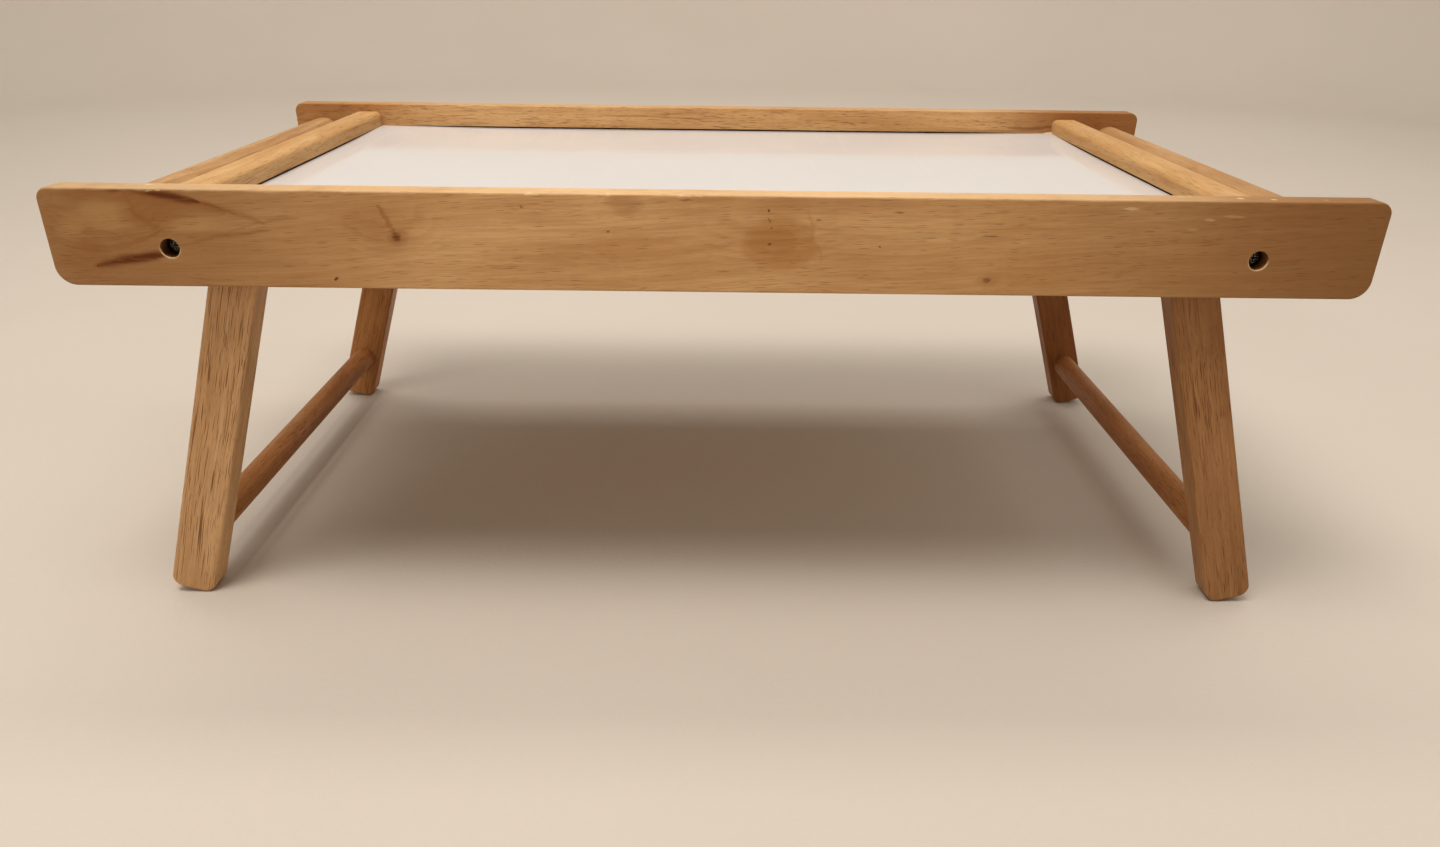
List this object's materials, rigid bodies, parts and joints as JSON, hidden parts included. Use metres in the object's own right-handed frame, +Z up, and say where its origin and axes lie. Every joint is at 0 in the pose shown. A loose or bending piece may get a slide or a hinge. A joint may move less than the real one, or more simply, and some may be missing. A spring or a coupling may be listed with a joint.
{
  "type": "folding tray table",
  "caption": "Lap tray table: long wooden rails and end rails round a sunken white panel, with a round handle at each end and splayed leg frames that fold flat under the tray.",
  "frame": {"origin": "on the ground, under the middle of the tray, with both leg frames open", "axes": "+X along the tray's long side to the right, +Y from the front rail to the back rail, +Z up"},
  "size_m": [0.6346, 0.343, 0.2285],
  "materials": {
    "rail_wood": "honey-coloured rubberwood under clear satin lacquer",
    "end_rail_wood": "honey-coloured rubberwood under clear satin lacquer",
    "leg_wood": "rubberwood with long pores under clear satin lacquer",
    "dowel_wood": "turned rubberwood under clear satin lacquer",
    "pin_wood": "plain unfinished dowel",
    "white_board": "thin fibreboard with a warm white semi-gloss melamine face",
    "zinc_steel": "zinc-plated steel",
    "black_steel": "black oxide on steel"
  },
  "bodies": {
    "tray": {"front_rail": "rail_wood", "back_rail": "rail_wood", "left_end_rail": "end_rail_wood", "right_end_rail": "end_rail_wood", "left_handle": "dowel_wood", "right_handle": "dowel_wood", "tray_panel": "white_board", "left_front_locating_pin": "pin_wood", "left_back_locating_pin": "pin_wood", "right_front_locating_pin": "pin_wood", "right_back_locating_pin": "pin_wood", "left_front_rail_screw": "black_steel", "left_back_rail_screw": "black_steel", "right_front_rail_screw": "black_steel", "right_back_rail_screw": "black_steel", "left_front_pivot_screw": "zinc_steel", "left_back_pivot_screw": "zinc_steel", "right_front_pivot_screw": "zinc_steel", "right_back_pivot_screw": "zinc_steel", "left_front_spacer_washer": "zinc_steel", "left_back_spacer_washer": "zinc_steel", "right_front_spacer_washer": "zinc_steel", "right_back_spacer_washer": "zinc_steel", "left_front_head_washer": "zinc_steel", "left_back_head_washer": "zinc_steel", "right_front_head_washer": "zinc_steel", "right_back_head_washer": "zinc_steel"},
    "left_leg_frame": {"left_front_leg": "leg_wood", "left_back_leg": "leg_wood", "left_stretcher": "dowel_wood"},
    "right_leg_frame": {"right_front_leg": "leg_wood", "right_back_leg": "leg_wood", "right_stretcher": "dowel_wood"}
  },
  "joints": [
    {"name": "left_leg_fold", "type": "hinge", "parent": "tray", "child": "left_leg_frame", "pos_m": [-0.2342, 0, 0.1963], "axis": [0, -1, 0], "range_deg": [0, 106.5]},
    {"name": "right_leg_fold", "type": "hinge", "parent": "tray", "child": "right_leg_frame", "pos_m": [0.2342, 0, 0.1963], "axis": [0, 1, 0], "range_deg": [0, 106.5]}
  ]
}
